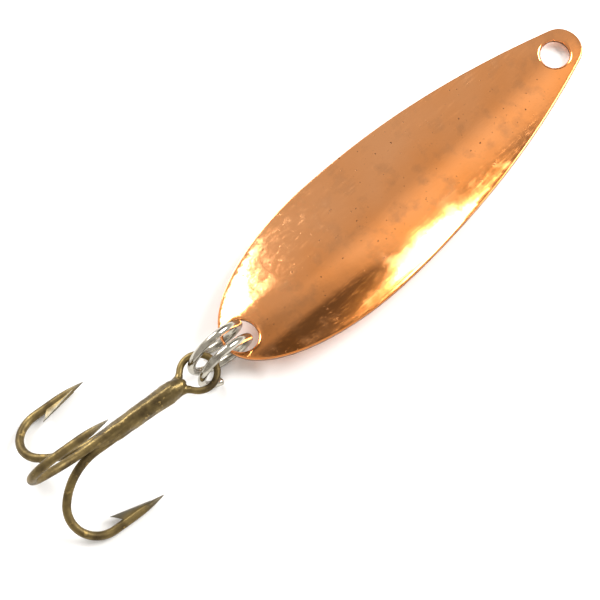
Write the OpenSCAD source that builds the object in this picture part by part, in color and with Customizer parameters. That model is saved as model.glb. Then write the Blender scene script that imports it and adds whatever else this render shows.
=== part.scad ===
// Casting spoon lure: a pressed, copper-plated blade with a line-tie hole in its narrow head,
// a two-turn split ring through the hole in its wide tail, and a brazed treble hook on the ring.
// Millimetres. The origin is the middle of the line-tie hole, +X runs along the blade from the
// tail to the head, and +Z is up out of the cupped face. The lure is drawn as it lies on a table.

/* [Blade] */
// Length of the blade from tail to head, seen from above
blade_l = 62.3; // [50:0.5:80]
// Greatest width of the blade
blade_w = 17.9; // [15:0.2:24]
// Sheet thickness
blade_t = 0.9; // [0.7:0.05:1.3]
// Distance from the tail to the widest place
wide_at = 21.6; // [17:0.2:28]
// Radius of the rounded head
nose_r = 2.9; // [2.7:0.1:4]
// Depth of the hollow across the widest place
cup_depth = 2.4; // [1:0.1:3.5]
// How far the tail curls up above the lowest place
tail_rise = 3.7; // [2.5:0.1:4.5]
// How far the head lifts above the lowest place
head_rise = 0.6; // [0:0.1:2]
// Diameter of the line-tie hole in the head
tie_hole_d = 3.8; // [2.5:0.1:4]
// Distance from the head's tip to the middle of the line-tie hole
tie_hole_in = 3.8; // [3.4:0.1:5]
// Diameter of the hole in the tail
tail_hole_d = 4.3; // [4.2:0.1:4.6]
// Distance from the tail's tip to the middle of the tail hole
tail_hole_in = 2.5; // [2.5:0.05:4]
// How far the tail hole is punched to one side of the middle
tail_hole_side = 0.2; // [0:0.1:0.4]

/* [Split ring] */
// Radius of the ring to the middle of its wire
ring_r = 3.9; // [3.7:0.1:4.5]
// Wire diameter of the ring
ring_wire_d = 1.05; // [0.8:0.05:1.1]
// Spacing of the two turns where the blade and the eye hold them apart
ring_pitch = 2.15; // [1.6:0.05:2.2]

/* [Treble hook] */
// Wire diameter of the hooks
hook_wire_d = 1.12; // [0.9:0.02:1.2]
// Wire diameter of the eye, where the wire is drawn thinner
eye_wire_d = 0.88; // [0.8:0.04:1]
// Distance from the middle of the shank to each point
point_gap = 10.1; // [8:0.1:12]
// Radius of the easy first part of each bend
bend_r = 8.4; // [6:0.1:9]
// Where the points end, measured along the shank towards the eye
point_reach = 3.55; // [2:0.1:5]
// How far one point of the double hook stands ahead of the other
point_stagger = 0.3; // [0:0.1:1.2]
// How far the single hook is set back from the double hook
single_setback = 1.3; // [0:0.1:2.5]
// Lean of the single hook's bend to one side, in degrees
single_lean = 6; // [-8:0.5:8]
// Length of the straight shank from the bends to the neck of the eye
shank_l = 11.4; // [10:0.1:15]
// Width of the opening inside the eye
eye_in_w = 3.7; // [3.7:0.1:4.2]
// Length of each sharpened point
point_l = 4.2; // [3:0.1:5]
// Distance of the barb's tip behind the point
barb_back = 6.9; // [6:0.1:7.5]
// Height of the barb's tip above the middle of the wire
barb_rise = 1.75; // [1:0.05:2]
// Thickness of the braze over the wires
braze_skin = 0.14; // [0.08:0.01:0.3]

/* [Lie] */
// Turn of the ring and hook to one side of the blade
link_yaw = -7.5; // [-12:0.5:12]

/* [Hidden] */
$fn = 48;
fit_gap = 0.005;

// Blade. Its outline is half an ellipse at the tail, a long arc down each flank, and the nose arc.
half_w = blade_w / 2;
tail_x = tie_hole_in - blade_l;
tail_hole_x = tail_x + tail_hole_in;
nose_at = blade_l - nose_r;
flank_run = nose_at - wide_at;
flank_r = (flank_run * flank_run + half_w * half_w - nose_r * nose_r) / (2 * (half_w - nose_r));
flank_end = wide_at + flank_run * flank_r / (flank_r - nose_r);
curl_from = 0.45 * blade_l;
lift_from = 0.6 * blade_l;
rows_tail = 20;
rows_flank = 18;
rows_nose = 9;
cols = 14;

// Half width of the blade at distance u from the tail
function half_width(u) =
    u < wide_at ? half_w * sqrt(1 - pow(1 - u / wide_at, 2))
    : u < flank_end ? half_w - flank_r + sqrt(flank_r * flank_r - pow(u - wide_at, 2))
    : sqrt(max(0, nose_r * nose_r - pow(u - nose_at, 2)));

// Height of the blade's middle line above its lowest place
function spine(u) =
    u < curl_from ? tail_rise * pow(1 - u / curl_from, 2)
    : u > lift_from ? head_rise * pow((u - lift_from) / (blade_l - lift_from), 2)
    : 0;

// Height of the underside at distance u from the tail and v to one side
function under_z(u, v) = spine(u) + cup_depth * pow(v / half_w, 2);

// Distances from the tail of the rows of points, closer together where the outline turns fast
nose_turn = acos((flank_end - nose_at) / nose_r);
row_u = concat(
    [for (i = [0 : rows_tail]) wide_at * (1 - cos(3 + 87 * i / rows_tail))],
    [for (i = [1 : rows_flank]) wide_at + (flank_end - wide_at) * i / rows_flank],
    [for (i = [1 : rows_nose]) nose_at + nose_r * cos(nose_turn + (6 - nose_turn) * i / rows_nose)]
);
rows = len(row_u);

// Heights above the table are moved down by this much, so that the line tie is at the origin
tie_z = under_z(blade_l - tie_hole_in, 0) + blade_t / 2;

// Ring. It stands on the table with its middle ring_z up, and passes through the tail hole a
// little past the hole's middle.
ring_out_r = ring_r + ring_wire_d / 2;
ring_z = ring_out_r;
ring_seat_z = under_z(tail_hole_in, 0) + blade_t / 2;
ring_slack = -0.3;
ring_x = tail_hole_x - ring_slack
    - sqrt(ring_r * ring_r - pow(ring_seat_z - ring_z, 2)) * cos(link_yaw);
ring_turns = 2;
ring_from = -470;
ring_steps = 100;
wire_sides = 12;

// Treble. Three wires lie against one another along the shank, each in the plane of its own hook.
// Its x starts where the bends meet the straight shank.
hook_r = hook_wire_d / 2;
eye_wire_r = eye_wire_d / 2;
leg_gap = 0.03;
leg_y = hook_r + leg_gap / 2;
leg_r = leg_y / cos(30);
first_turn = 52;
tight_r = (point_gap - leg_r - bend_r * (1 - cos(first_turn))) / (1 + cos(first_turn));
shank_z = point_gap * cos(60) + hook_r;
eye_r = (eye_in_w + eye_wire_d) / 2;
neck_r = 2.6;
neck_x = shank_l;
eye_x = neck_x + sqrt(pow(neck_r + eye_r, 2) - pow(leg_y + neck_r, 2));
neck_turn = acos((leg_y + neck_r) / (neck_r + eye_r));
eye_z = shank_z - leg_r * sin(30);
eye_slack = 0.15;
eye_side = 0.05;
eye_seat = sqrt(ring_r * ring_r - pow(eye_z - ring_z, 2)) - eye_slack;
barb_t = 0.5;
barb_slot = 1.3;
barb_root = 0.25;
point_tip_r = 0.04;
bend_steps = 14;
easy_steps = 8;
leg_steps = 4;
neck_steps = 4;
eye_steps = 22;
braze_from = 0.6;
braze_short = 0.1;
leg_short = 0.6;

// Draws its children with heights measured from the table
module on_table() {
    translate([0, 0, -tie_z])
        children();
}

// Draws its children around the middle of the ring, in line with the ring and hook
module in_link() {
    on_table()
        translate([ring_x, tail_hole_side, ring_z])
            rotate([0, 0, link_yaw])
                children();
}

// Draws its children along the shank, with x = 0 where the bends meet it
module in_treble() {
    in_link()
        translate([-eye_seat - eye_x, -ring_pitch / 4 - eye_side, shank_z - ring_z])
            children();
}

// Curved sheet of even thickness, as one closed surface of rows across the blade
module blade_sheet() {
    across = cols + 1;
    top = [for (u = row_u) for (j = [0 : cols])
        let (v = half_width(u) * (2 * j / cols - 1)) [tail_x + u, v, under_z(u, v) + blade_t]];
    under = [for (p = top) [p.x, p.y, p.z - blade_t]];
    low = len(top);
    last = (rows - 1) * across;
    faces = concat(
        [for (i = [0 : rows - 2]) for (j = [0 : cols - 1])
            let (a = i * across + j) [a, a + 1, a + across + 1]],
        [for (i = [0 : rows - 2]) for (j = [0 : cols - 1])
            let (a = i * across + j) [a, a + across + 1, a + across]],
        [for (i = [0 : rows - 2]) for (j = [0 : cols - 1])
            let (a = low + i * across + j) [a, a + across + 1, a + 1]],
        [for (i = [0 : rows - 2]) for (j = [0 : cols - 1])
            let (a = low + i * across + j) [a, a + across, a + across + 1]],
        [for (i = [0 : rows - 2]) let (a = i * across) [a, a + across, low + a + across, low + a]],
        [for (i = [0 : rows - 2])
            let (a = i * across + cols) [a, low + a, low + a + across, a + across]],
        [for (j = [0 : cols - 1]) [j, low + j, low + j + 1, j + 1]],
        [for (j = [0 : cols - 1])
            [last + j, last + j + 1, low + last + j + 1, low + last + j]]
    );
    polyhedron(concat(top, under), faces, convexity = 4);
}

module spoon_blade() {
    color("#b8733f")
        on_table()
            difference() {
                blade_sheet();
                translate([0, 0, -1])
                    cylinder(d = tie_hole_d, h = 12);
                translate([tail_hole_x, tail_hole_side, -1])
                    cylinder(d = tail_hole_d, h = 12);
            }
}

// Closed skin of a round wire. Each station is [middle, side direction, other side direction,
// wire radius], and the two directions are square to each other and to the wire.
module swept_wire(stations) {
    ends = len(stations) - 1;
    skin = [for (s = stations) for (k = [0 : wire_sides - 1])
        s[0] + s[3] * (cos(360 * k / wire_sides) * s[1] + sin(360 * k / wire_sides) * s[2])];
    start_cap = [for (k = [0 : wire_sides - 1]) k];
    end_cap = [for (k = [1 : wire_sides]) (ends + 1) * wire_sides - k];
    walls = [for (i = [0 : ends - 1]) for (k = [0 : wire_sides - 1]) for (first = [true, false])
        let (
            a = i * wire_sides + k,
            b = i * wire_sides + (k + 1) % wire_sides
        ) first ? [a, a + wire_sides, b + wire_sides] : [a, b + wire_sides, b]];
    polyhedron(skin, concat([start_cap, end_cap], walls), convexity = 8);
}

// Two open turns of round wire, wound about the sideways axis
module split_ring() {
    stations = [for (i = [0 : ring_steps])
        let (a = ring_from + 360 * ring_turns * i / ring_steps)
        [
            [ring_r * cos(a), -ring_pitch * (a + 90) / 360, ring_r * sin(a)],
            [cos(a), 0, sin(a)],
            [0, 1, 0],
            ring_wire_d / 2
        ]];
    color("#b9b9b4")
        in_link()
            swept_wire(stations);
}

// One station of a hook: p is [x, y] in the hook's plane, which is turned by tilt about the
// shank, and heading is the way the wire runs in that plane
function hook_station(p, heading, tilt, wire_r, frame_tilt) = [
    [p.x, p.y * cos(tilt), p.y * sin(tilt)],
    [-sin(heading), cos(heading) * cos(frame_tilt), cos(heading) * sin(frame_tilt)],
    [0, -sin(frame_tilt), cos(frame_tilt)],
    wire_r
];

// One hook from its point to the start of its leg: straight spear, then a bend of two radii,
// which the lean turns to one side about the shank
function hook_line(setback, tilt, lean = 0) =
    let (
        tip = point_reach - setback,
        mid = [
            -setback - (bend_r - tight_r) * sin(first_turn),
            leg_r + bend_r - (bend_r - tight_r) * cos(first_turn)
        ],
        easy_mid = [-setback, leg_r + bend_r]
    )
    concat(
        [hook_station([tip, point_gap], 180, tilt + lean, point_tip_r, tilt)],
        [hook_station([tip - point_l, point_gap], 180, tilt + lean, hook_r, tilt)],
        [for (i = [0 : bend_steps])
            let (a = 90 + (180 - first_turn) * i / bend_steps)
            hook_station(mid + tight_r * [cos(a), sin(a)], a + 90, tilt + lean, hook_r, tilt)],
        [for (i = [1 : easy_steps])
            let (a = 270 - first_turn + first_turn * i / easy_steps, part = 1 - i / easy_steps)
            hook_station(
                easy_mid + bend_r * [cos(a), sin(a)], a + 90, tilt + lean * part, hook_r, tilt)]
    );

// The leg of the double hook, along which the wire thins and its frame turns level with the eye
function leg_line(tilt) = [
    for (i = [1 : leg_steps])
        let (part = i / leg_steps)
        hook_station(
            [neck_x + shank_l * (part - 1) / 3, leg_r],
            0,
            tilt,
            hook_r + (eye_wire_r - hook_r) * part,
            tilt * (1 - part)
        )
];

// One side of the neck, where a leg swings out to meet the eye
function neck_line() = [
    for (i = [1 : neck_steps])
        let (a = neck_turn * i / neck_steps)
        [
            [neck_x + neck_r * sin(a), leg_y + neck_r * (1 - cos(a)), eye_z - shank_z],
            [-sin(a), cos(a), 0],
            [0, 0, 1],
            eye_wire_r
        ]
];

// The eye itself, from one side of the neck round to the other
function eye_line() = [
    for (i = [1 : eye_steps - 1])
        let (a = (90 + neck_turn) * (1 - 2 * i / eye_steps))
        [
            [eye_x + eye_r * cos(a), eye_r * sin(a), eye_z - shank_z],
            [cos(a), sin(a), 0],
            [0, 0, 1],
            eye_wire_r
        ]
];

// The same stations in the opposite order, on the other side of the shank
function mirrored(stations) = [
    for (i = [len(stations) - 1 : -1 : 0])
        let (s = stations[i])
        [[s[0].x, -s[0].y, s[0].z], [s[1].x, -s[1].y, s[1].z], [s[2].x, -s[2].y, s[2].z], s[3]]
];

// Half of the double hook's wire, from a point to the eye
function half_line(setback) = concat(hook_line(setback, -30), leg_line(-30), neck_line());

// Barb raised from the inner side of the spear, in the plane of x and y
module barb(setback) {
    tip = point_reach - setback;
    root = tip - barb_root * barb_back;
    translate([0, 0, -barb_t / 2])
        linear_extrude(barb_t)
            polygon([
                [root, point_gap],
                [root, point_gap - 0.2 * barb_rise],
                [tip - barb_back, point_gap - barb_rise],
                [tip - barb_back + barb_slot, point_gap - 0.8 * hook_r],
                [tip - barb_back + barb_slot, point_gap]
            ]);
}

module double_hook_wire() {
    color("#6f6138")
        in_treble() {
            swept_wire(concat(
                half_line(-point_stagger / 2),
                eye_line(),
                mirrored(half_line(point_stagger / 2))
            ));
            rotate([-30, 0, 0])
                barb(-point_stagger / 2);
            mirror([0, 1, 0])
                rotate([-30, 0, 0])
                    barb(point_stagger / 2);
        }
}

module single_hook_wire() {
    leg_end = hook_station([neck_x - leg_short, leg_r], 0, 90, hook_r, 90);
    color("#7a6b3e")
        in_treble() {
            swept_wire(concat(hook_line(single_setback, 90, single_lean), [leg_end]));
            rotate([90 + single_lean, 0, 0])
                barb(single_setback);
        }
}

// Braze that fills the hollows between the three wires and skins them over
module shank_braze() {
    skin_r = hook_r + braze_skin;
    color("#8a7440")
        in_treble()
            rotate([0, 90, 0])
                rotate([0, 0, 180])
                    difference() {
                        translate([0, 0, braze_from])
                            linear_extrude(neck_x - braze_short - braze_from)
                                union() {
                                    for (a = [0, 120, 240])
                                        rotate([0, 0, a])
                                            translate([leg_r, 0])
                                                circle(skin_r);
                                    polygon([for (a = [0, 120, 240]) for (b = [-60, 60])
                                        leg_r * [cos(a), sin(a)]
                                        + skin_r * [cos(a + b), sin(a + b)]]);
                                }
                        for (a = [0, 120, 240])
                            rotate([0, 0, a])
                                translate([leg_r, 0])
                                    cylinder(r = hook_r + fit_gap, h = shank_l);
                        linear_extrude(shank_l)
                                polygon([for (a = [0, 120, 240]) leg_r * [cos(a), sin(a)]]);
                    }
}

spoon_blade();
split_ring();
double_hook_wire();
single_hook_wire();
shank_braze();
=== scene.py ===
"""Looks of the casting spoon lure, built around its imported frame.

A pressed and copper-plated blade, a nickel split ring and a bronzed treble hook lie on a pale
table under two soft lamps. Lengths are metres in the frame of the lure: the origin is the middle
of the line-tie hole, +X runs from the tail to the head and +Z is up out of the cupped face.
"""
import logging
import math
from dataclasses import dataclass, field
from enum import Enum

import bmesh
import bpy
from mathutils import Matrix, Quaternion, Vector, geometry, noise


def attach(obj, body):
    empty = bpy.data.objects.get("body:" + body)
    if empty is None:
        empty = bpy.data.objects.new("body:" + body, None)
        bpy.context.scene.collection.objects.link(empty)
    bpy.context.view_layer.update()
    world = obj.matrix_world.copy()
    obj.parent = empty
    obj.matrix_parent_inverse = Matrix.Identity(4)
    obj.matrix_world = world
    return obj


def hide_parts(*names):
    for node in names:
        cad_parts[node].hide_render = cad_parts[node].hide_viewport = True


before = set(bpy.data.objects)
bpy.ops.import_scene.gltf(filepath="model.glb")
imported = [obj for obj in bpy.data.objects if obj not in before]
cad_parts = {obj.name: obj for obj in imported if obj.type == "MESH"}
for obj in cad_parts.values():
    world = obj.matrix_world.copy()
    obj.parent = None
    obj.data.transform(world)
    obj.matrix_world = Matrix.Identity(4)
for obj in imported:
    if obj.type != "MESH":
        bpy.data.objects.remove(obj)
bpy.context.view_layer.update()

LOG = logging.getLogger("spoon_lure")
MM = 0.001
# The CAD wires have twelve flat sides. A round wire of the same section is this much thinner
# than the circle through their corners.
ROUND_WIRE = math.sqrt(3 / math.pi)


class Body(Enum):
    """The three bodies that move against one another."""

    BLADE = "blade"
    RING = "ring"
    TREBLE = "treble"


class Slot(Enum):
    """Material slots of the record."""

    COPPER = "copper_plate"
    NICKEL = "nickel_wire"
    BRONZED = "bronzed_wire"
    BRAZE = "braze"


def linear(code: str) -> tuple[float, float, float, float]:
    """Turns an sRGB colour into linear light.

    Args:
        code: Six hex digits after a hash sign.

    Returns:
        Red, green, blue and an alpha of one.
    """
    parts = [int(code[i : i + 2], 16) / 255 for i in (1, 3, 5)]
    light = [c / 12.92 if c <= 0.04045 else ((c + 0.055) / 1.055) ** 2.4 for c in parts]
    return (*light, 1.0)


def per_mm(size: float) -> float:
    """Returns the texture scale, in metre coordinates, of a pattern repeating every size mm."""
    return 1 / (size * MM)


def add_node(
    tree: bpy.types.NodeTree,
    kind: str,
    inputs: dict | None = None,
    **settings: object,
) -> bpy.types.Node:
    """Adds one node with its settings, values and links.

    Args:
        tree: The node tree to add to.
        kind: Blender's name for the node.
        inputs: For each input's name or number, a value to set or an output socket to link.
        settings: Properties of the node itself.

    Returns:
        The new node.
    """
    node = tree.nodes.new(kind)
    for name, value in settings.items():
        setattr(node, name, value)
    for name, value in (inputs or {}).items():
        if isinstance(value, bpy.types.NodeSocket):
            tree.links.new(value, node.inputs[name])
        else:
            node.inputs[name].default_value = value
    return node


@dataclass(frozen=True)
class Finish:
    """Base of every finish: one procedural material made of nodes."""

    name: str

    def start(self) -> tuple[bpy.types.Material, bpy.types.NodeTree, bpy.types.NodeSocket]:
        """Makes an empty material.

        Returns:
            The material, its node tree and the object coordinates that patterns follow.
        """
        material = bpy.data.materials.new(self.name)
        material.use_nodes = True
        tree = material.node_tree
        tree.nodes.clear()
        return material, tree, add_node(tree, "ShaderNodeTexCoord").outputs["Object"]

    def patches(
        self,
        tree: bpy.types.NodeTree,
        coords: bpy.types.NodeSocket,
        size: float,
        low: float,
        high: float,
        detail: float = 4.0,
        stretch: tuple[float, float, float] = (1.0, 1.0, 1.0),
        turn: float = 0.0,
    ) -> bpy.types.NodeSocket:
        """Makes a noise mask.

        Args:
            tree: The material's node tree.
            coords: Object coordinates.
            size: Size of a patch in mm.
            low: Noise value below which the mask is nought.
            high: Noise value above which the mask is one.
            detail: How many finer octaves the noise has.
            stretch: Factors on the coordinates, under one for a pattern drawn out that way.
            turn: Turn of the pattern about Z, in radians.

        Returns:
            The mask's output socket.
        """
        turned = add_node(
            tree,
            "ShaderNodeMapping",
            {"Vector": coords, "Rotation": (0, 0, turn), "Scale": stretch},
        )
        cloud = add_node(
            tree,
            "ShaderNodeTexNoise",
            {"Vector": turned.outputs[0], "Scale": per_mm(size), "Detail": detail},
        )
        return add_node(
            tree,
            "ShaderNodeMapRange",
            {"Value": cloud.outputs["Fac"], "From Min": low, "From Max": high},
            clamp=True,
        ).outputs["Result"]

    def blend(
        self,
        tree: bpy.types.NodeTree,
        mask: bpy.types.NodeSocket,
        first: object,
        second: object,
    ) -> bpy.types.NodeSocket:
        """Mixes two colours.

        Args:
            tree: The material's node tree.
            mask: Nought for the first colour and one for the second.
            first: A colour or an output socket.
            second: A colour or an output socket.

        Returns:
            The mixed colour's output socket.
        """
        mix = add_node(tree, "ShaderNodeMix", {0: mask, 6: first, 7: second}, data_type="RGBA")
        return mix.outputs[2]

    def weigh(
        self, tree: bpy.types.NodeTree, base: float, *parts: tuple[bpy.types.NodeSocket, float]
    ) -> bpy.types.NodeSocket:
        """Adds weighted masks to a base value.

        Args:
            tree: The material's node tree.
            base: The value where every mask is nought.
            parts: Masks, each with its weight.

        Returns:
            The total's output socket.
        """
        total: object = base
        for mask, weight in parts:
            total = add_node(
                tree, "ShaderNodeMath", {0: mask, 1: weight, 2: total}, operation="MULTIPLY_ADD"
            ).outputs[0]
        return total

    def relief(
        self,
        tree: bpy.types.NodeTree,
        height: bpy.types.NodeSocket,
        depth: float,
        below: bpy.types.NodeSocket | None = None,
    ) -> bpy.types.NodeSocket:
        """Adds one layer of fine relief.

        Args:
            tree: The material's node tree.
            height: The height mask.
            depth: Depth of the relief in mm.
            below: The layer of relief under this one.

        Returns:
            The bent normal's output socket.
        """
        inputs = {"Height": height, "Distance": depth * MM, "Strength": 1.0}
        if below is not None:
            inputs["Normal"] = below
        return add_node(tree, "ShaderNodeBump", inputs).outputs["Normal"]

    def metal(
        self,
        tree: bpy.types.NodeTree,
        colour: bpy.types.NodeSocket,
        roughness: bpy.types.NodeSocket,
        normal: bpy.types.NodeSocket,
        metallic: float = 1.0,
    ) -> None:
        """Ends the tree in a metal surface.

        Args:
            tree: The material's node tree.
            colour: The metal's colour.
            roughness: Its roughness.
            normal: Its relief.
            metallic: One for bare metal, less under an oxide film.
        """
        surface = add_node(
            tree,
            "ShaderNodeBsdfPrincipled",
            {
                "Base Color": colour,
                "Roughness": roughness,
                "Normal": normal,
                "Metallic": metallic,
            },
        )
        add_node(tree, "ShaderNodeOutputMaterial", {"Surface": surface.outputs[0]})


@dataclass(frozen=True)
class CopperPlate(Finish):
    """Copper plate over pressed brass sheet, buffed bright and since worn.

    The eye sees an orange mirror with soft borders, because the pressing is never quite even,
    brown tarnish in patches, hairline scratches every way and small dark pits.
    """

    bright: str = "#f8b078"
    warm: str = "#f49a50"
    tarnish: str = "#a87b58"
    pit: str = "#4a2f20"

    def build(self) -> bpy.types.Material:
        """Returns the plated face's material."""
        material, tree, coords = self.start()
        # Painted reflection: the plate is painted paler towards +Y and a warmer orange towards -Y,
        # standing in for how the lamps' reflections fall across the blade; the drift patches add
        # real random tone.
        side = add_node(tree, "ShaderNodeSeparateXYZ", {"Vector": coords}).outputs["Y"]
        lean = add_node(
            tree,
            "ShaderNodeMapRange",
            {"Value": side, "From Min": 5 * MM, "From Max": -4 * MM},
            clamp=True,
        ).outputs[0]
        drift = self.patches(tree, coords, 9.0, 0.36, 0.66, 5.0)
        drift_and_painted_side = self.weigh(tree, 0.0, (lean, 0.65), (drift, 0.35))
        film = self.patches(tree, coords, 2.6, 0.52, 0.74, 8.0)
        pits = self.patches(tree, coords, 0.5, 0.68, 0.73, 4.0)
        hairlines = [
            self.patches(tree, coords, 0.22, 0.60, 0.72, 2.0, (0.07, 1.0, 1.0), turn)
            for turn in (0.35, -0.55, 1.25)
        ]
        wave = self.patches(tree, coords, 7.0, 0.2, 0.8, 1.0)
        ripple = self.patches(tree, coords, 1.4, 0.2, 0.8, 2.0)
        # Painted reflection: the paler and warmer orange are mixed mostly by the painted side
        # tone.
        colour = self.blend(tree, drift_and_painted_side, linear(self.bright), linear(self.warm))
        film_part = self.weigh(tree, 0.0, (film, 0.50))
        colour = self.blend(tree, film_part, colour, linear(self.tarnish))
        colour = self.blend(tree, pits, colour, linear(self.pit))
        rough = self.weigh(
            tree, 0.075, (film, 0.10), (pits, 0.3), (drift_and_painted_side, 0.02), (hairlines[0], 0.05),
            (hairlines[1], 0.05), (hairlines[2], 0.05),
        )
        normal = self.relief(tree, wave, 0.025)
        normal = self.relief(tree, ripple, 0.004, normal)
        for lines in hairlines:
            normal = self.relief(tree, lines, -0.0009, normal)
        normal = self.relief(tree, pits, -0.002, normal)
        self.metal(tree, colour, rough, normal)
        return material


@dataclass(frozen=True)
class ShearedEdge(Finish):
    """The blade's sheared edge, where the plate is thin over the tool's drag lines.

    It shows as a dull brown wall, streaked through the sheet's thickness.
    """

    dull: str = "#8a6246"
    dark: str = "#5b4030"

    def build(self) -> bpy.types.Material:
        """Returns the sheared edge's material."""
        material, tree, coords = self.start()
        drag = self.patches(tree, coords, 0.18, 0.35, 0.65, 2.0, (1.0, 1.0, 0.08))
        grime = self.patches(tree, coords, 1.2, 0.45, 0.7)
        colour = self.blend(tree, grime, linear(self.dull), linear(self.dark))
        rough = self.weigh(tree, 0.34, (drag, 0.12), (grime, 0.15))
        self.metal(tree, colour, rough, self.relief(tree, drag, 0.004))
        return material


@dataclass(frozen=True)
class NickelWire(Finish):
    """Bright nickel plate on drawn spring wire.

    It mirrors the lamps in clean streaks, with grey smudges of wear from hook and blade.
    """

    bright: str = "#bab5a8"
    smudge: str = "#7d766a"

    def build(self) -> bpy.types.Material:
        """Returns the ring wire's material."""
        material, tree, coords = self.start()
        smudges = self.patches(tree, coords, 1.3, 0.48, 0.72, 6.0)
        drawn = self.patches(tree, coords, 0.12, 0.3, 0.7, 2.0, (1.0, 0.25, 1.0))
        colour = self.blend(tree, smudges, linear(self.bright), linear(self.smudge))
        rough = self.weigh(tree, 0.13, (smudges, 0.16), (drawn, 0.04))
        normal = self.relief(tree, drawn, 0.0015)
        normal = self.relief(tree, smudges, 0.003, normal)
        self.metal(tree, colour, rough, normal)
        return material


@dataclass(frozen=True)
class BronzedWire(Finish):
    """Steel hook wire, brass-plated and bronzed brown; its points are ground bare.

    Rubbed places glint like brass out of a mottled olive brown, and the ground points are grey.
    """

    bronze: str = "#7e6c43"
    brown: str = "#493c25"
    brass: str = "#b89c60"
    ground: str = "#6e6a5e"

    def build(self) -> bpy.types.Material:
        """Returns the hook wire's material."""
        material, tree, coords = self.start()
        mottle = self.patches(tree, coords, 1.8, 0.36, 0.66, 8.0)
        glint = self.patches(tree, coords, 0.9, 0.62, 0.80, 6.0)
        grain = self.patches(tree, coords, 0.16, 0.3, 0.7, 3.0)
        ground = add_node(tree, "ShaderNodeAttribute", attribute_name="ground").outputs["Fac"]
        colour = self.blend(tree, mottle, linear(self.bronze), linear(self.brown))
        colour = self.blend(tree, glint, colour, linear(self.brass))
        colour = self.blend(tree, ground, colour, linear(self.ground))
        rough = self.weigh(tree, 0.40, (mottle, 0.12), (grain, 0.06))
        normal = self.relief(tree, grain, 0.006)
        normal = self.relief(tree, mottle, 0.012, normal)
        self.metal(tree, colour, rough, normal, 0.85)
        return material


@dataclass(frozen=True)
class BrazeMetal(Finish):
    """Brass braze run between the wires, bronzed with them and left as it froze.

    It is lumpy and satin, browner in its hollows and brassy on its crests.
    """

    crest: str = "#7d6b42"
    hollow: str = "#4a3d26"
    brass: str = "#bfa162"

    def build(self) -> bpy.types.Material:
        """Returns the braze's material."""
        material, tree, coords = self.start()
        lumps = self.patches(tree, coords, 1.6, 0.30, 0.70, 7.0)
        glint = self.patches(tree, coords, 0.6, 0.62, 0.76, 5.0)
        grain = self.patches(tree, coords, 0.2, 0.3, 0.7, 3.0)
        colour = self.blend(tree, lumps, linear(self.hollow), linear(self.crest))
        colour = self.blend(tree, glint, colour, linear(self.brass))
        rough = self.weigh(tree, 0.42, (lumps, -0.12), (grain, 0.06))
        normal = self.relief(tree, grain, 0.008)
        normal = self.relief(tree, lumps, 0.03, normal)
        self.metal(tree, colour, rough, normal, 0.85)
        return material


@dataclass(frozen=True)
class PalePaper(Finish):
    """Matt white paper on the table: nearly white, with a tooth too fine to see."""

    white: str = "#f7f7f6"

    def build(self) -> bpy.types.Material:
        """Returns the table's material."""
        material, tree, coords = self.start()
        tooth = self.patches(tree, coords, 0.4, 0.3, 0.7)
        surface = add_node(
            tree,
            "ShaderNodeBsdfPrincipled",
            {
                "Base Color": linear(self.white),
                "Roughness": 0.75,
                "Specular IOR Level": 0.2,
                "Normal": self.relief(tree, tooth, 0.003),
            },
        )
        add_node(tree, "ShaderNodeOutputMaterial", {"Surface": surface.outputs[0]})
        return material


@dataclass(frozen=True)
class Station:
    """One place along a wire: its middle in mm, its radius in mm and how far it is ground."""

    middle: Vector
    radius: float
    ground: float = 0.0


def to_object(name: str, mesh: bmesh.types.BMesh, sharp: float = 40.0) -> bpy.types.Object:
    """Turns a mesh under construction into an object in the scene.

    Args:
        name: The piece's name.
        mesh: The mesh, in metres; it is freed.
        sharp: Angle in degrees beyond which an edge is drawn sharp.

    Returns:
        The new object, smooth shaded.
    """
    bmesh.ops.recalc_face_normals(mesh, faces=mesh.faces)
    data = bpy.data.meshes.new(name)
    mesh.to_mesh(data)
    mesh.free()
    data.shade_smooth()
    data.set_sharp_from_angle(angle=math.radians(sharp))
    piece = bpy.data.objects.new(name, data)
    bpy.context.scene.collection.objects.link(piece)
    return piece


def sweep(
    mesh: bmesh.types.BMesh, stations: list[Station], place: Matrix, sides: int = 24
) -> None:
    """Sweeps a round wire along its stations, with a face over each end.

    Args:
        mesh: The mesh to add to, with a float layer named ground on its vertices.
        stations: The wire's stations in mm.
        place: Where the wire's own frame lies in the lure's, in metres.
        sides: Number of sides around the wire.
    """
    layer = mesh.verts.layers.float.get("ground")
    middles = [s.middle for s in stations]
    last = len(stations) - 1
    along = [
        (middles[min(i + 1, last)] - middles[max(i - 1, 0)]).normalized() for i in range(last + 1)
    ]
    side = along[0].orthogonal().normalized()
    rows = []
    for station, way in zip(stations, along):
        side = (side - way * side.dot(way)).normalized()
        other = way.cross(side)
        row = []
        for k in range(sides):
            turn = math.tau * k / sides
            out = side * math.cos(turn) + other * math.sin(turn)
            there = station.middle + out * (station.radius * ROUND_WIRE)
            vert = mesh.verts.new(place @ (there * MM))
            vert[layer] = station.ground
            row.append(vert)
        rows.append(row)
    for row, following in zip(rows, rows[1:]):
        for k in range(sides):
            after = (k + 1) % sides
            mesh.faces.new((row[k], row[after], following[after], following[k]))
    mesh.faces.new(rows[0])
    mesh.faces.new(rows[-1])


def new_mesh() -> bmesh.types.BMesh:
    """Returns an empty mesh with the layer that holds how far a place is ground."""
    mesh = bmesh.new()
    mesh.verts.layers.float.new("ground")
    return mesh


def hand_over(piece: bpy.types.Object, node: str, body: Body) -> None:
    """Puts a finished piece in the place of its CAD node and reports it.

    Args:
        piece: The finished piece.
        node: The CAD node it stands for.
        body: The body it moves with.
    """
    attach(piece, body.value)
    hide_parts(node)
    LOG.info("%s: %d faces, rides on %s", piece.name, len(piece.data.polygons), body.value)


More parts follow.
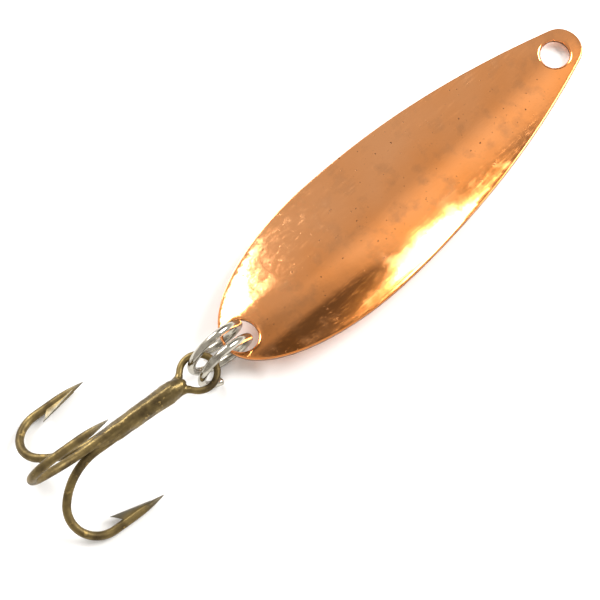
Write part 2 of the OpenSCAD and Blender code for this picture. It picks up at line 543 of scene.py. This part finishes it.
@dataclass
class SpoonBlade:
    """The pressed blade. Its sizes are those of the CAD blade, in mm."""

    length: float = 62.3
    width: float = 17.9
    sheet: float = 0.9
    wide_at: float = 21.6
    nose_r: float = 2.9
    cup: float = 2.4
    tail_rise: float = 3.7
    head_rise: float = 0.6
    tie_hole_d: float = 3.8
    tie_hole_in: float = 3.8
    tail_hole_d: float = 4.3
    tail_hole_in: float = 2.5
    tail_hole_side: float = 0.2
    edge_round: float = 0.22
    lip_round: float = 0.34
    spacing: float = 0.42
    rim_part: float = 0.8
    arc_steps: int = 5
    hole_steps: int = 64
    outline_steps: int = 900
    flank_r: float = field(init=False)
    flank_end: float = field(init=False)
    table: float = field(init=False)

    def __post_init__(self) -> None:
        """Works out the flank's arc and the height of the table under the line tie."""
        half = self.width / 2
        run = self.length - self.nose_r - self.wide_at
        self.flank_r = (run**2 + half**2 - self.nose_r**2) / (2 * (half - self.nose_r))
        self.flank_end = self.wide_at + run * self.flank_r / (self.flank_r - self.nose_r)
        self.table = -(self.under(self.length - self.tie_hole_in, 0) + self.sheet / 2)

    def half_width(self, u: float) -> float:
        """Returns the half width at distance u from the tail."""
        half = self.width / 2
        if u < self.wide_at:
            return half * math.sqrt(max(0.0, 1 - (1 - u / self.wide_at) ** 2))
        if u < self.flank_end:
            return half - self.flank_r + math.sqrt(self.flank_r**2 - (u - self.wide_at) ** 2)
        return math.sqrt(max(0.0, self.nose_r**2 - (u - self.length + self.nose_r) ** 2))

    def spine(self, u: float) -> float:
        """Returns the height of the middle line at distance u from the tail."""
        curl_from, lift_from = 0.45 * self.length, 0.6 * self.length
        if u < curl_from:
            return self.tail_rise * (1 - u / curl_from) ** 2
        if u > lift_from:
            return self.head_rise * ((u - lift_from) / (self.length - lift_from)) ** 2
        return 0.0

    def under(self, u: float, v: float) -> float:
        """Returns the height of the underside at u from the tail and v to one side."""
        return self.spine(u) + self.cup * (v / (self.width / 2)) ** 2

    def point(self, place: Vector, above: float) -> Vector:
        """Finds a point of the sheet.

        Args:
            place: Distance from the tail and to one side, in mm.
            above: Height above the underside, in mm.

        Returns:
            The point in metres.
        """
        height = self.under(place.x, place.y) + above + self.table
        return Vector((place.x + self.tie_hole_in - self.length, place.y, height)) * MM

    def outline(self) -> list[Vector]:
        """Returns the blade's outline as seen from above, anticlockwise and evenly spaced."""
        turns = [math.pi * i / self.outline_steps for i in range(self.outline_steps + 1)]
        fine = [self.length * (1 - math.cos(a)) / 2 for a in turns]
        flank = [Vector((u, self.half_width(u))) for u in fine]
        loop = flank + [Vector((p.x, -p.y)) for p in reversed(flank[1:-1])]
        return self.even(loop, self.spacing * self.rim_part)[::-1]

    def even(self, loop: list[Vector], gap: float) -> list[Vector]:
        """Spaces a closed loop's points evenly.

        Args:
            loop: The loop's points.
            gap: The wanted distance between points.

        Returns:
            The new points.
        """
        steps = [(b - a).length for a, b in zip(loop, loop[1:] + loop[:1])]
        total = sum(steps)
        count = round(total / gap)
        out, at, walked = [], 0, 0.0
        for i in range(count):
            want = total * i / count
            while walked + steps[at] < want:
                walked += steps[at]
                at += 1
            part = (want - walked) / steps[at]
            out.append(loop[at].lerp(loop[(at + 1) % len(loop)], part))
        return out

    def circle(self, middle: Vector, radius: float) -> list[Vector]:
        """Returns the points of a hole's edge, in order."""
        turns = [math.tau * i / self.hole_steps for i in range(self.hole_steps)]
        return [middle + radius * Vector((math.cos(a), math.sin(a))) for a in turns]

    def inset(self, loop: list[Vector], by: float) -> list[Vector]:
        """Moves a loop's points to their left, which is into the sheet.

        Args:
            loop: The loop, with the sheet on its left.
            by: The distance in mm.

        Returns:
            The moved points.
        """
        out = []
        for before, here, after in zip(loop[-1:] + loop[:-1], loop, loop[1:] + loop[:1]):
            way = (after - before).normalized()
            out.append(here + by * Vector((-way.y, way.x)))
        return out

    def face_points(self, loops: list[list[Vector]]) -> list[Vector]:
        """Fills the face between its edges with evenly spread points.

        Args:
            loops: The edge of the face and of each hole, already inset.

        Returns:
            Points on a triangular lattice, none nearer an edge than half the spacing.
        """
        out = []
        row_gap = self.spacing * math.sqrt(3) / 2
        holes = self.holes()
        for row in range(int(self.width / row_gap) + 2):
            v = (row + 0.5) * row_gap - self.width / 2 - row_gap
            for step in range(int(self.length / self.spacing) + 1):
                u = (step + (row % 2) / 2) * self.spacing
                here = Vector((u, v))
                if abs(v) > self.half_width(min(u, self.length)) - self.edge_round:
                    continue
                if any((here - m).length < r + self.lip_round for m, r in holes):
                    continue
                if min((here - p).length for loop in loops for p in loop) > self.spacing * 0.55:
                    out.append(here)
        return out

    def holes(self) -> list[tuple[Vector, float]]:
        """Returns the middle and radius of each hole, in mm from the tail."""
        return [
            (Vector((self.length - self.tie_hole_in, 0.0)), self.tie_hole_d / 2),
            (Vector((self.tail_hole_in, self.tail_hole_side)), self.tail_hole_d / 2),
        ]

    def rim_profile(self, rounding: float) -> list[tuple[float, float]]:
        """Returns inset and height down an edge, from the upper face to the underside."""
        arc = [math.pi / 2 * i / self.arc_steps for i in range(self.arc_steps + 1)]
        top = [(rounding * (1 - math.sin(a)), rounding * (1 - math.cos(a))) for a in arc]
        upper = [(inward, self.sheet - down) for inward, down in top]
        lower = [(inward, down) for inward, down in reversed(top)]
        return upper + lower

    def build(self) -> bpy.types.Object:
        """Builds the sheet: two faces, and a rounded edge round the outline and each hole.

        Returns:
            The blade, with its sheared edges in a second material slot.
        """
        edges = [(self.outline(), self.edge_round)]
        edges += [(list(reversed(self.circle(m, r))), self.lip_round) for m, r in self.holes()]
        loops = [self.inset(loop, rounding) for loop, rounding in edges]
        inside = self.face_points(loops)
        flat, links = [], []
        for loop in loops:
            first = len(flat)
            flat += loop
            links += [(first + i, first + (i + 1) % len(loop)) for i in range(len(loop))]
        flat += inside
        found = geometry.delaunay_2d_cdt(flat, links, [], 1, 1e-6)
        places, triangles, origin = found[0], found[2], found[3]
        mesh = bmesh.new()
        upper = [mesh.verts.new(self.point(p, self.sheet)) for p in places]
        lower = [mesh.verts.new(self.point(p, 0.0)) for p in places]
        for a, b, c in triangles:
            middle = (places[a] + places[b] + places[c]) / 3
            if any((middle - m).length < r + self.lip_round * 0.9 for m, r in self.holes()):
                continue
            mesh.faces.new((upper[a], upper[b], upper[c]))
            mesh.faces.new((lower[c], lower[b], lower[a]))
        new_of = {old: new for new, olds in enumerate(origin) for old in olds}
        first = 0
        for (loop, rounding), inner in zip(edges, loops):
            ids = [new_of[first + i] for i in range(len(inner))]
            first += len(inner)
            self.add_rim(mesh, loop, rounding, [upper[i] for i in ids], [lower[i] for i in ids])
        return to_object("pressed_blade", mesh, 60.0)

    def add_rim(
        self,
        mesh: bmesh.types.BMesh,
        loop: list[Vector],
        rounding: float,
        top: list[bmesh.types.BMVert],
        bottom: list[bmesh.types.BMVert],
    ) -> None:
        """Joins the upper face to the underside round one edge.

        Args:
            mesh: The blade's mesh.
            loop: The edge seen from above.
            rounding: Radius of the edge's rounded corners.
            top: The upper face's vertices along the edge.
            bottom: The underside's vertices along the edge.
        """
        profile = self.rim_profile(rounding)
        rows = [top]
        for inward, above in profile[1:-1]:
            rows.append([mesh.verts.new(self.point(p, above)) for p in self.inset(loop, inward)])
        rows.append(bottom)
        wall = len(profile) // 2 - 1
        for at, (row, following) in enumerate(zip(rows, rows[1:])):
            for i in range(len(loop)):
                after = (i + 1) % len(loop)
                face = mesh.faces.new((row[i], following[i], following[after], row[after]))
                face.material_index = 1 if abs(at - wall) <= 1 else 0

    def make(self) -> None:
        """Builds the blade, dresses it and hands it over."""
        piece = self.build()
        piece.data.materials.append(CopperPlate("copper_plate").build())
        piece.data.materials.append(ShearedEdge("sheared_edge").build())
        hand_over(piece, "spoon_blade", Body.BLADE)


@dataclass
class Link:
    """The frame that the ring and the treble are drawn in, in mm."""

    blade: SpoonBlade
    ring_r: float = 3.9
    wire_d: float = 1.05
    pitch: float = 2.15
    slack: float = -0.3
    yaw: float = math.radians(-7.5)

    def height(self) -> float:
        """Returns the height of the ring's middle above the table."""
        return self.ring_r + self.wire_d / 2

    def place(self) -> Matrix:
        """Returns the frame's place in the lure's frame, in metres."""
        blade = self.blade
        seat = blade.under(blade.tail_hole_in, 0) + blade.sheet / 2
        reach = math.sqrt(self.ring_r**2 - (seat - self.height()) ** 2) * math.cos(self.yaw)
        along = blade.tie_hole_in - blade.length + blade.tail_hole_in - self.slack - reach
        middle = Vector((along, blade.tail_hole_side, self.height() + blade.table)) * MM
        return Matrix.Translation(middle) @ Matrix.Rotation(self.yaw, 4, "Z")


@dataclass
class SplitRing:
    """Two open turns of round wire, with nipped and tumbled ends."""

    link: Link
    first: float = -470.0
    turns: float = 2.0
    steps: int = 260
    dome_steps: int = 4
    nip: float = 0.35

    def station(self, angle: float, radius: float) -> Station:
        """Returns the wire's station at an angle in degrees."""
        turn = math.radians(angle)
        middle = Vector(
            (
                self.link.ring_r * math.cos(turn),
                -self.link.pitch * (angle + 90) / 360,
                self.link.ring_r * math.sin(turn),
            )
        )
        return Station(middle, radius)

    def make(self) -> None:
        """Builds the ring, dresses it and hands it over."""
        wire_r = self.link.wire_d / 2
        last = self.first + 360 * self.turns
        nip = self.nip * math.degrees(wire_r / self.link.ring_r)
        rise = [i / self.dome_steps for i in range(self.dome_steps)]
        swell = [wire_r * (0.7 + 0.3 * math.sin(p * math.pi / 2)) for p in rise]
        start = [self.station(self.first + nip * p, r) for p, r in zip(rise, swell)]
        end = [self.station(last - nip * p, r) for p, r in zip(rise, swell)]
        body = [
            self.station(self.first + nip + (last - self.first - 2 * nip) * i / self.steps, wire_r)
            for i in range(self.steps + 1)
        ]
        mesh = new_mesh()
        sweep(mesh, start + body + end[::-1], self.link.place())
        piece = to_object("nickel_ring", mesh)
        piece.data.materials.append(NickelWire("nickel_wire").build())
        hand_over(piece, "split_ring", Body.RING)


@dataclass
class TrebleHook:
    """Three hooks in two wires, brazed along a common shank. Sizes are those of CAD, in mm."""

    link: Link
    wire_d: float = 1.12
    eye_wire_d: float = 0.88
    gap: float = 10.1
    bend_r: float = 8.4
    reach: float = 3.55
    stagger: float = 0.3
    setback: float = 1.3
    lean: float = math.radians(6)
    shank_l: float = 11.4
    eye_in_w: float = 3.7
    point_l: float = 4.2
    barb_back: float = 6.9
    barb_rise: float = 1.75
    neck_r: float = 2.6
    leg_gap: float = 0.03
    first_turn: float = math.radians(52)
    barb_slot: float = 1.3
    barb_root: float = 0.25
    barb_edge: float = 0.05
    barb_swell: float = 0.26
    barb_ground: float = 0.2
    eye_slack: float = 0.15
    eye_side: float = 0.05
    leg_short: float = 0.6
    pair_tilt: float = math.radians(-30)
    tip_r: float = 0.03
    point_steps: int = 12
    spear_steps: int = 9
    bend_steps: int = 32
    throat_steps: int = 16
    leg_steps: int = 12
    sharp: float = 38.0
    neck_steps: int = 8
    eye_steps: int = 48
    web_in: float = 0.08
    braze_voxel: float = 0.1
    braze_easing: int = 14
    braze_lumps: tuple = ((1.3, 0.06), (0.5, 0.02))

    @property
    def wire_r(self) -> float:
        """Radius of the hook wire."""
        return self.wire_d / 2

    @property
    def leg_y(self) -> float:
        """Distance of each eyed leg from the middle plane."""
        return self.wire_r + self.leg_gap / 2

    @property
    def leg_r(self) -> float:
        """Distance of each leg from the shank's middle line."""
        return self.leg_y / math.cos(math.radians(30))

    @property
    def eye_r(self) -> float:
        """Radius of the eye to the middle of its wire."""
        return (self.eye_in_w + self.eye_wire_d) / 2

    @property
    def eye_x(self) -> float:
        """Distance of the eye's middle along the shank."""
        return self.shank_l + math.sqrt(
            (self.neck_r + self.eye_r) ** 2 - (self.leg_y + self.neck_r) ** 2
        )

    @property
    def neck_turn(self) -> float:
        """Angle through which each leg swings out to the eye."""
        return math.acos((self.leg_y + self.neck_r) / (self.neck_r + self.eye_r))

    def place(self) -> Matrix:
        """Returns the treble's frame in the lure's frame, in metres."""
        shank_z = self.gap * math.cos(math.radians(60)) + self.wire_r
        eye_z = shank_z - self.leg_r / 2
        ring_z = self.link.height()
        seat = math.sqrt(self.link.ring_r**2 - (eye_z - ring_z) ** 2) - self.eye_slack
        shift = Vector(
            (-seat - self.eye_x, -self.link.pitch / 4 - self.eye_side, shank_z - ring_z)
        )
        return self.link.place() @ Matrix.Translation(shift * MM)

    def in_plane(self, x: float, y: float, tilt: float) -> Vector:
        """Returns a point of a hook's plane, which is turned by tilt about the shank."""
        return Vector((x, y * math.cos(tilt), y * math.sin(tilt)))

    def hook_line(self, setback: float, tilt: float, lean: float = 0.0) -> list[Station]:
        """Follows one hook from its point to the start of its leg.

        Args:
            setback: How far the hook is set back.
            tilt: Turn of the hook's plane about the shank.
            lean: Further turn of its bend.

        Returns:
            The wire's stations.
        """
        turn = self.first_turn
        tight = (self.gap - self.leg_r - self.bend_r * (1 - math.cos(turn))) / (1 + math.cos(turn))
        tip = self.reach - setback
        mid_x = -setback - (self.bend_r - tight) * math.sin(turn)
        mid_y = self.leg_r + self.bend_r - (self.bend_r - tight) * math.cos(turn)
        out = []
        for i in range(self.point_steps + 1):
            part = i / self.point_steps
            swell = math.sin(part * math.pi / 2) ** 0.9
            radius = self.tip_r + (self.wire_r - self.tip_r) * swell
            here = self.in_plane(tip - self.point_l * part, self.gap, tilt + lean)
            out.append(Station(here, radius, max(0.0, 0.9 - 1.3 * part)))
        for i in range(1, self.spear_steps):
            x = tip - self.point_l + (mid_x - tip + self.point_l) * i / self.spear_steps
            out.append(Station(self.in_plane(x, self.gap, tilt + lean), self.wire_r))
        for i in range(self.bend_steps + 1):
            a = math.pi / 2 + (math.pi - turn) * i / self.bend_steps
            x, y = mid_x + tight * math.cos(a), mid_y + tight * math.sin(a)
            out.append(Station(self.in_plane(x, y, tilt + lean), self.wire_r))
        for i in range(1, self.throat_steps + 1):
            part = i / self.throat_steps
            a = 1.5 * math.pi - turn * (1 - part)
            x = -setback + self.bend_r * math.cos(a)
            y = self.leg_r + self.bend_r + self.bend_r * math.sin(a)
            out.append(Station(self.in_plane(x, y, tilt + lean * (1 - part)), self.wire_r))
        return out

    def half_line(self, setback: float) -> list[Station]:
        """Follows half of the double hook's wire, from a point to the start of the eye."""
        out = self.hook_line(setback, self.pair_tilt)
        eye_wire_r = self.eye_wire_d / 2
        for i in range(1, self.leg_steps + 1):
            part = i / self.leg_steps
            x = self.shank_l * part
            thin = max(0.0, part - 2 / 3) * 3
            radius = self.wire_r + (eye_wire_r - self.wire_r) * thin
            out.append(Station(self.in_plane(x, self.leg_r, self.pair_tilt), radius))
        for i in range(1, self.neck_steps + 1):
            a = self.neck_turn * i / self.neck_steps
            x = self.shank_l + self.neck_r * math.sin(a)
            y = self.leg_y + self.neck_r * (1 - math.cos(a))
            out.append(Station(Vector((x, y, -self.leg_r / 2)), eye_wire_r))
        return out

    def eye_line(self) -> list[Station]:
        """Follows the eye from one side of the neck round to the other."""
        out = []
        for i in range(1, self.eye_steps):
            a = (math.pi / 2 + self.neck_turn) * (1 - 2 * i / self.eye_steps)
            here = Vector(
                (self.eye_x + self.eye_r * math.cos(a), self.eye_r * math.sin(a), -self.leg_r / 2)
            )
            out.append(Station(here, self.eye_wire_d / 2))
        return out

    def barb(self, setback: float, turn: Matrix) -> bmesh.types.BMesh:
        """Builds the sliver raised from the inner side of a spear.

        Args:
            setback: How far the hook is set back.
            turn: Turn from the plane of x and y to the hook's plane.

        Returns:
            The barb's mesh, thinner towards its edge.
        """
        tip = self.reach - setback
        root = tip - self.barb_root * self.barb_back
        back = tip - self.barb_back
        slot = back + self.barb_slot
        shape = [
            (root, 0.0), (root, 0.2 * self.barb_rise), (back + 0.1, 0.985 * self.barb_rise),
            (back, self.barb_rise), (back + 0.35, 0.84 * self.barb_rise),
            (slot, 0.8 * self.wire_r), (slot, 0.0),
        ]
        mesh = new_mesh()
        layer = mesh.verts.layers.float["ground"]
        sides = []
        for way in (1, -1):
            row = []
            for x, down in shape:
                thick = self.barb_edge + self.barb_swell * (1 - down / self.barb_rise)
                here = turn @ Vector((x, self.gap - down, way * thick))
                vert = mesh.verts.new(self.place() @ (here * MM))
                vert[layer] = self.barb_ground
                row.append(vert)
            sides.append(row)
        mesh.faces.new(sides[0])
        mesh.faces.new(sides[1])
        for i in range(len(shape)):
            after = (i + 1) % len(shape)
            mesh.faces.new((sides[0][i], sides[0][after], sides[1][after], sides[1][i]))
        return mesh

    def fuse(
        self, name: str, wire: bmesh.types.BMesh, barbs: list[bmesh.types.BMesh]
    ) -> bpy.types.Object:
        """Joins barbs to their wire as one solid, with the wire's skin left smooth.

        Args:
            name: The piece's name.
            wire: The wire's mesh.
            barbs: The barbs' meshes.

        Returns:
            The joined piece.
        """
        piece = to_object(name, wire)
        for mesh in barbs:
            sliver = to_object(name + "_sliver", mesh)
            join = piece.modifiers.new("join", "BOOLEAN")
            join.operation = "UNION"
            join.solver = "EXACT"
            join.object = sliver
            bake(piece)
            bpy.data.objects.remove(sliver)
        piece.data.set_sharp_from_angle(angle=math.radians(self.sharp))
        return piece

    def make_wires(self) -> None:
        """Builds both hook wires, dresses them and hands them over."""
        finish = BronzedWire("bronzed_wire").build()
        place = self.place()
        half = self.half_line(-self.stagger / 2)
        other = [
            Station(Vector((s.middle.x, -s.middle.y, s.middle.z)), s.radius, s.ground)
            for s in reversed(self.half_line(self.stagger / 2))
        ]
        mesh = new_mesh()
        sweep(mesh, half + self.eye_line() + other, place)
        flip = Matrix.Diagonal(Vector((1, -1, 1)))
        tilt = Matrix.Rotation(self.pair_tilt, 3, "X")
        barbs = [self.barb(-self.stagger / 2, tilt), self.barb(self.stagger / 2, flip @ tilt)]
        double = self.fuse("double_hook", mesh, barbs)
        double.data.materials.append(finish)
        hand_over(double, "double_hook_wire", Body.TREBLE)

        upright = math.radians(90)
        last = self.in_plane(self.shank_l - self.leg_short, self.leg_r, upright)
        leg_end = Station(last, self.wire_r)
        mesh = new_mesh()
        sweep(mesh, self.hook_line(self.setback, upright, self.lean) + [leg_end], place)
        barb = self.barb(self.setback, Matrix.Rotation(upright + self.lean, 3, "X"))
        single = self.fuse("single_hook", mesh, [barb])
        single.data.materials.append(finish)
        hand_over(single, "single_hook_wire", Body.TREBLE)

    def braze_strands(self) -> list[list[Station]]:
        """Lays out the round strands of braze that run together about the legs.

        Returns:
            A skin on each leg, a filling between the legs and a web along each side of the neck.
        """
        end = self.shank_l
        skins = [
            (-1.4, -0.2), (0.6, -0.04), (3.0, 0.08), (end - 3.0, 0.14), (end - 0.8, 0.22),
            (end, 0.1), (end + 0.6, -0.16),
        ]
        strands = [
            [Station(self.in_plane(x, self.leg_r, tilt), self.wire_r + skin) for x, skin in skins]
            for tilt in (self.pair_tilt, math.pi - self.pair_tilt, math.pi / 2)
        ]
        fills = [
            (-2.0, 0.2), (-0.6, 0.6), (1.0, 0.95), (4.0, 1.12), (end - 2.0, 1.24), (end, 1.22),
            (end + 0.7, 1.02), (end + 1.3, 0.72), (end + 1.8, 0.3),
        ]
        strands.append([Station(Vector((x, 0, 0)), radius) for x, radius in fills])
        webs = [(0.0, 0.34), (0.2, 0.256), (0.4, 0.172), (0.6, 0.088), (0.8, 0.004)]
        for way in (1, -1):
            root = Vector((end - 1.2, way * self.leg_y, -self.leg_r / 2))
            strand = [Station(root, self.wire_r + 0.15)]
            for turn, skin in webs:
                x = end + self.neck_r * math.sin(turn)
                y = self.leg_y + self.neck_r * (1 - math.cos(turn)) - self.web_in
                middle = Vector((x, way * y, -self.leg_r / 2))
                strand.append(Station(middle, self.eye_wire_d / 2 + skin))
            strands.append(strand)
        return strands

    def make_braze(self) -> None:
        """Builds the frozen braze round the three legs, dresses it and hands it over."""
        mesh = new_mesh()
        for strand in self.braze_strands():
            sweep(mesh, strand, self.place())
        piece = to_object("braze_sleeve", mesh)
        skinned = piece.modifiers.new("skin", "REMESH")
        skinned.mode = "VOXEL"
        skinned.voxel_size = self.braze_voxel * MM
        eased = piece.modifiers.new("ease", "SMOOTH")
        eased.factor = 0.5
        eased.iterations = self.braze_easing
        bake(piece)
        for vert in piece.data.vertices:
            lump = sum(
                noise.noise(vert.co * per_mm(size)) * depth for size, depth in self.braze_lumps
            )
            vert.co += vert.normal * (lump * MM)
        piece.data.shade_smooth()
        piece.data.materials.append(BrazeMetal("braze").build())
        hand_over(piece, "shank_braze", Body.TREBLE)

    def make(self) -> None:
        """Builds the whole treble."""
        self.make_wires()
        self.make_braze()


def bake(piece: bpy.types.Object) -> None:
    """Applies a piece's modifiers to its mesh."""
    graph = bpy.context.evaluated_depsgraph_get()
    done = bpy.data.meshes.new_from_object(piece.evaluated_get(graph))
    piece.modifiers.clear()
    old = piece.data
    piece.data = done
    bpy.data.meshes.remove(old)


@dataclass(frozen=True)
class Lamp:
    """A soft lamp, seen from the lure at so many degrees right of straight away and up."""

    name: str
    azimuth: float
    height: float
    size: tuple[float, float]
    radiance: float
    roll: float


@dataclass(frozen=True)
class Patch:
    """A soft-edged round patch of the room, full within one angle and gone beyond another."""

    azimuth: float
    height: float
    inner: float
    outer: float
    gain: float


@dataclass
class Studio:
    """Table, lamps, room and camera. The camera looks down across the lure."""

    blade: SpoonBlade
    lie: float = math.radians(44.26)
    elevation: float = math.radians(72)
    distance: float = 0.25
    lens: float = 120.0
    aim_along: float = -46.75
    aim_side: float = -0.65
    table_side: float = 3.0
    lamp_far: float = 0.6
    lamps: tuple[Lamp, ...] = (
        Lamp("main_lamp", -35.5, 33.5, (0.26, 0.21), 18.0, -9),
        Lamp("side_lamp", 67, 42.3, (0.33, 0.25), 15.0, 19),
    )
    room_tone: str = "#fffaf4"
    room_level: float = 0.65
    patches: tuple[Patch, ...] = (
        Patch(-30, 44, 10, 38, 0.77),
        Patch(8, 34, 14, 26, -0.52),
        Patch(-9, 33, 8, 15, -0.75),
    )

    def across(self, right: float, away: float, up: float) -> Vector:
        """Returns a direction given as the camera's right, away from it along the table and up."""
        cos, sin = math.cos(self.lie), math.sin(self.lie)
        return Vector((right * cos + away * sin, -right * sin + away * cos, up))

    def bearing(self, azimuth: float, height: float) -> Vector:
        """Returns the direction azimuth degrees right of straight away and height degrees up."""
        turn, rise = math.radians(azimuth), math.radians(height)
        flat = math.cos(rise)
        return self.across(math.sin(turn) * flat, math.cos(turn) * flat, math.sin(rise))

    @property
    def aim(self) -> Vector:
        """The point of the table that the camera looks at."""
        return Vector((self.aim_along, self.aim_side, self.blade.table)) * MM

    def add_camera(self) -> None:
        """Adds the camera and makes it the scene's own."""
        data = bpy.data.cameras.new("camera")
        data.lens = self.lens
        data.sensor_width = 36.0
        camera = bpy.data.objects.new("camera", data)
        bpy.context.scene.collection.objects.link(camera)
        back = self.across(0, -math.cos(self.elevation), math.sin(self.elevation))
        right = self.across(1, 0, 0)
        turn = Matrix((right, back.cross(right), back)).transposed()
        camera.matrix_world = Matrix.Translation(self.aim + back * self.distance) @ turn.to_4x4()
        bpy.context.scene.camera = camera

    def add_table(self) -> None:
        """Adds the pale table top."""
        mesh = bmesh.new()
        bmesh.ops.create_grid(mesh, x_segments=4, y_segments=4, size=self.table_side / 2)
        top = to_object("table", mesh)
        top.location = (self.aim.x, self.aim.y, self.blade.table * MM - 0.00002)
        top.data.materials.append(PalePaper("pale_paper").build())

    def add_lamp(self, lamp: Lamp) -> None:
        """Adds a soft lamp that faces the lure.

        Args:
            lamp: Where it is, its size in metres, how bright its face is, and how many degrees
                its top leans to the right.
        """
        data = bpy.data.lights.new(lamp.name, "AREA")
        data.shape = "RECTANGLE"
        data.size, data.size_y = lamp.size
        data.energy = lamp.radiance * math.pi * data.size * data.size_y
        source = bpy.data.objects.new(lamp.name, data)
        bpy.context.scene.collection.objects.link(source)
        way = self.bearing(lamp.azimuth, lamp.height)
        source.location = self.aim + way * self.lamp_far
        lean = Quaternion((0, 0, 1), math.radians(lamp.roll))
        source.rotation_euler = (way.to_track_quat("Z", "Y") @ lean).to_euler()

    def add_patch(
        self,
        tree: bpy.types.NodeTree,
        coords: bpy.types.NodeSocket,
        level: float | bpy.types.NodeSocket,
        patch: Patch,
    ) -> bpy.types.NodeSocket:
        """Brightens or dims the room within a patch.

        Args:
            tree: The room's node tree.
            coords: The direction looked at.
            level: The room's level so far.
            patch: Where the patch is, and the part that it adds to the level.

        Returns:
            The new level's output socket.
        """
        toward = add_node(
            tree,
            "ShaderNodeVectorMath",
            {0: coords, 1: self.bearing(patch.azimuth, patch.height)},
            operation="DOT_PRODUCT",
        )
        mask = add_node(
            tree,
            "ShaderNodeMapRange",
            {
                "Value": toward.outputs["Value"],
                "From Min": math.cos(math.radians(patch.outer)),
                "From Max": math.cos(math.radians(patch.inner)),
            },
            clamp=True,
            interpolation_type="SMOOTHSTEP",
        )
        factor = add_node(
            tree,
            "ShaderNodeMath",
            {0: mask.outputs[0], 1: patch.gain, 2: 1.0},
            operation="MULTIPLY_ADD",
        )
        return add_node(
            tree, "ShaderNodeMath", {0: level, 1: factor.outputs[0]}, operation="MULTIPLY"
        ).outputs[0]

    def add_room(self) -> None:
        """Makes the room, which the metal mirrors: pale, with a bright patch and two dark ones."""
        world = bpy.data.worlds.new("room")
        world.use_nodes = True
        tree = world.node_tree
        tree.nodes.clear()
        coords = add_node(tree, "ShaderNodeTexCoord").outputs["Generated"]
        level: float | bpy.types.NodeSocket = self.room_level
        for patch in self.patches:
            level = self.add_patch(tree, coords, level, patch)
        back = add_node(
            tree, "ShaderNodeBackground", {"Color": linear(self.room_tone), "Strength": level}
        )
        add_node(tree, "ShaderNodeOutputWorld", {"Surface": back.outputs[0]})
        bpy.context.scene.world = world

    def make(self) -> None:
        """Sets up the whole studio."""
        self.add_table()
        self.add_room()
        for lamp in self.lamps:
            self.add_lamp(lamp)
        self.add_camera()
        bpy.context.scene.view_settings.view_transform = "Standard"
        LOG.info("studio ready")


def main() -> None:
    """Builds the lure and its studio."""
    logging.basicConfig(level=logging.INFO, format="%(message)s")
    blade = SpoonBlade()
    link = Link(blade)
    blade.make()
    SplitRing(link).make()
    TrebleHook(link).make()
    Studio(blade).make()


if __name__ == "__main__":
    main()
